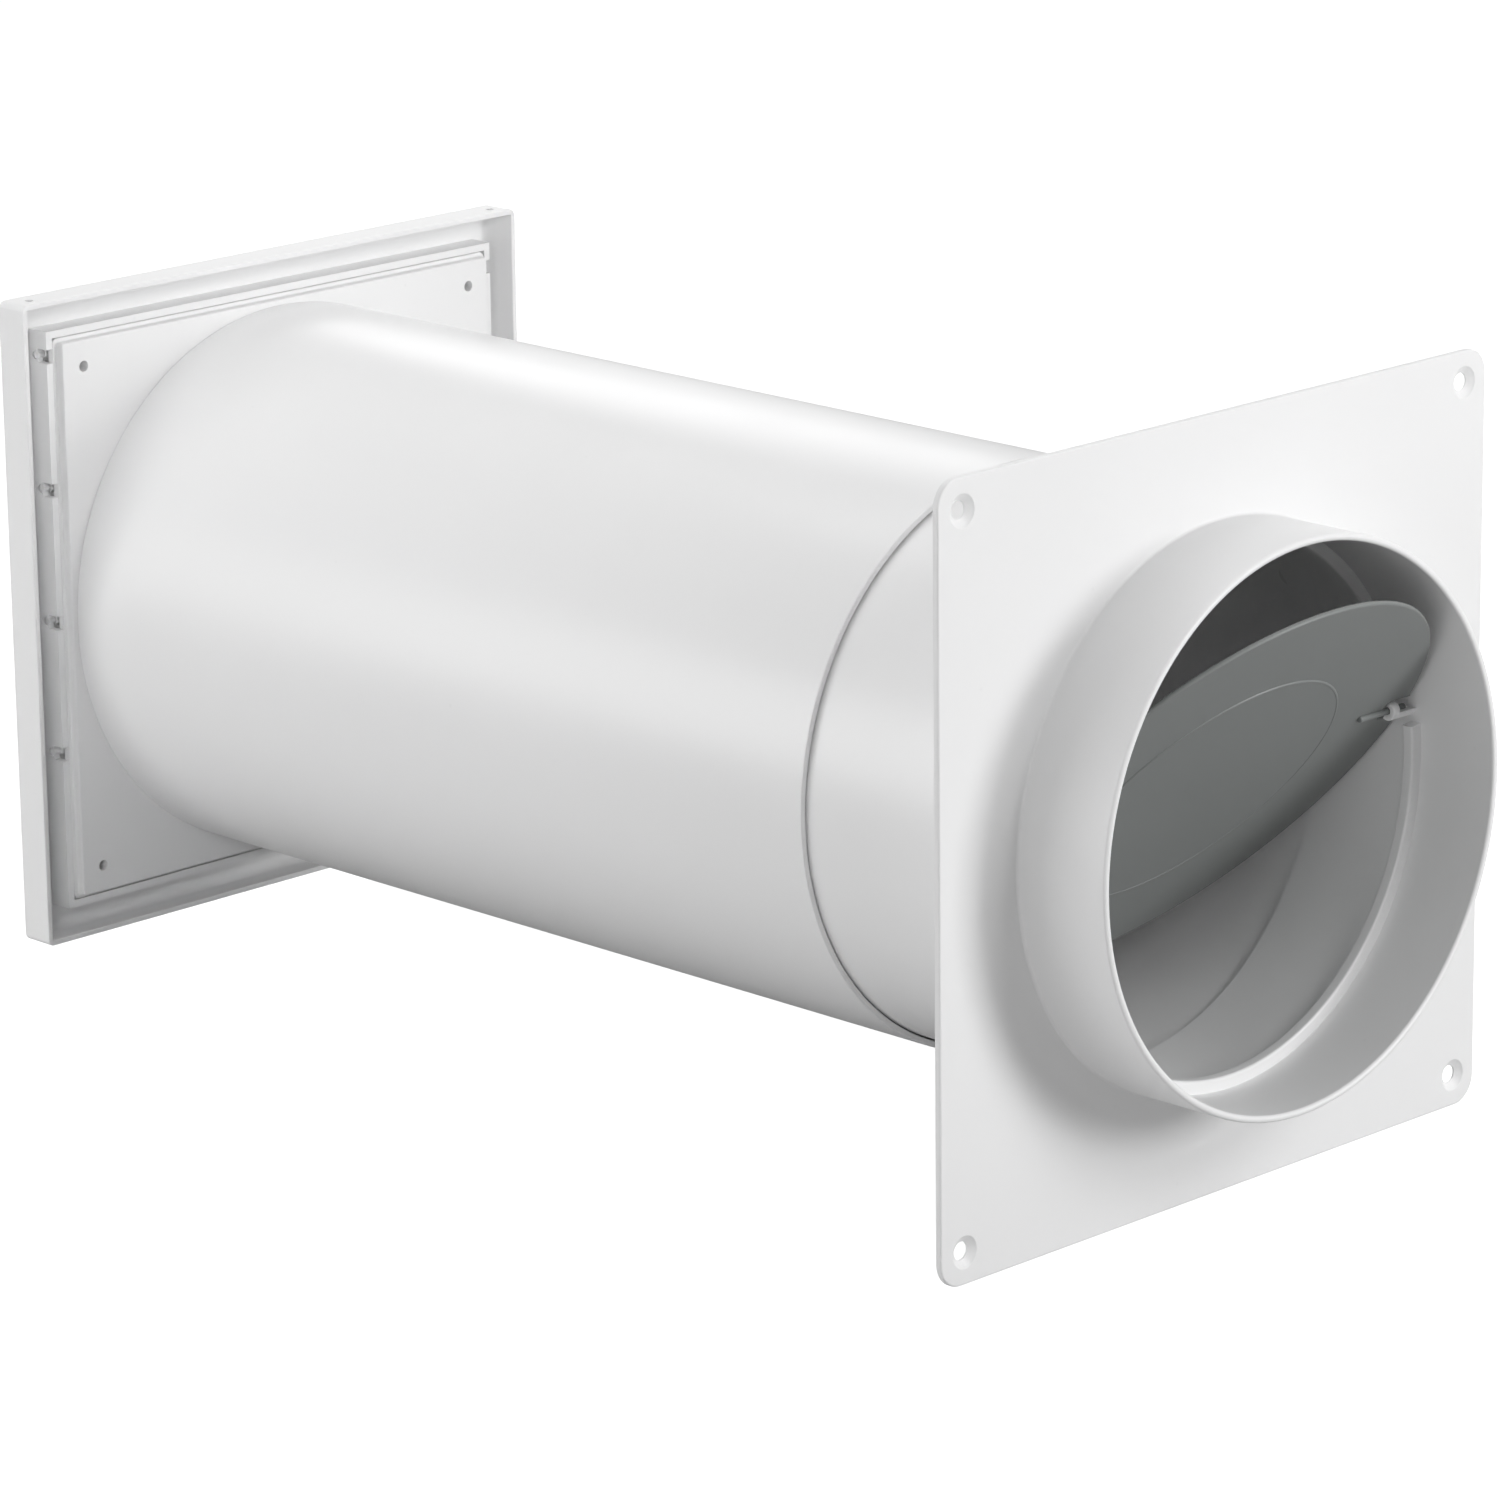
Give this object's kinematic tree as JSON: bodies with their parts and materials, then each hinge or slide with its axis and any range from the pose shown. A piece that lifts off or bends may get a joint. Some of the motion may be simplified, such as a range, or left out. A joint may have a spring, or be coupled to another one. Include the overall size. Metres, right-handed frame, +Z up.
{
  "type": "telescopic wall vent sleeve",
  "caption": "Round duct sleeve through a wall: a screw-on room flange with a hose collar and backdraft flap, sliding tubes, and an outside cover with hinged gravity louvres.",
  "frame": {"origin": "where the duct's axis meets the wall's inner face, which is the room flange's back face", "axes": "+Y along the duct from the room to the open air, +Z up, X across the wall"},
  "size_m": [0.205, 0.4077, 0.205],
  "materials": {
    "white_plastic": "satin moulded white plastic",
    "flap_plastic": "satin moulded light grey plastic"
  },
  "bodies": {
    "inner": {"inner_flange": "white_plastic", "inner_tube": "white_plastic"},
    "flap": {"backdraft_flap": "flap_plastic"},
    "exterior": {"outer_tube": "white_plastic", "mounting_plate": "white_plastic", "cover_frame": "white_plastic"},
    "louvre_1": {"louvre_1": "white_plastic"},
    "louvre_2": {"louvre_2": "white_plastic"},
    "louvre_3": {"louvre_3": "white_plastic"},
    "louvre_4": {"louvre_4": "white_plastic"}
  },
  "joints": [
    {"name": "depth_slide", "type": "slide", "parent": "inner", "child": "exterior", "axis": [0, 1, 0], "range_m": [-0.066, 0.1]},
    {"name": "flap_hinge", "type": "hinge", "parent": "inner", "child": "flap", "pos_m": [0, -0.0034, 0.0127], "axis": [1, 0, 0], "range_deg": [-40, 40]},
    {"name": "louvre_1_hinge", "type": "hinge", "parent": "exterior", "child": "louvre_1", "pos_m": [0, 0.3626, 0.0764], "axis": [1, 0, 0], "range_deg": [0, 70]},
    {"name": "louvre_2_hinge", "type": "hinge", "parent": "exterior", "child": "louvre_2", "pos_m": [0, 0.3626, 0.0382], "axis": [1, 0, 0], "range_deg": [0, 70]},
    {"name": "louvre_3_hinge", "type": "hinge", "parent": "exterior", "child": "louvre_3", "pos_m": [0, 0.3626, 0], "axis": [1, 0, 0], "range_deg": [0, 70]},
    {"name": "louvre_4_hinge", "type": "hinge", "parent": "exterior", "child": "louvre_4", "pos_m": [0, 0.3626, -0.0382], "axis": [1, 0, 0], "range_deg": [0, 70]}
  ]
}
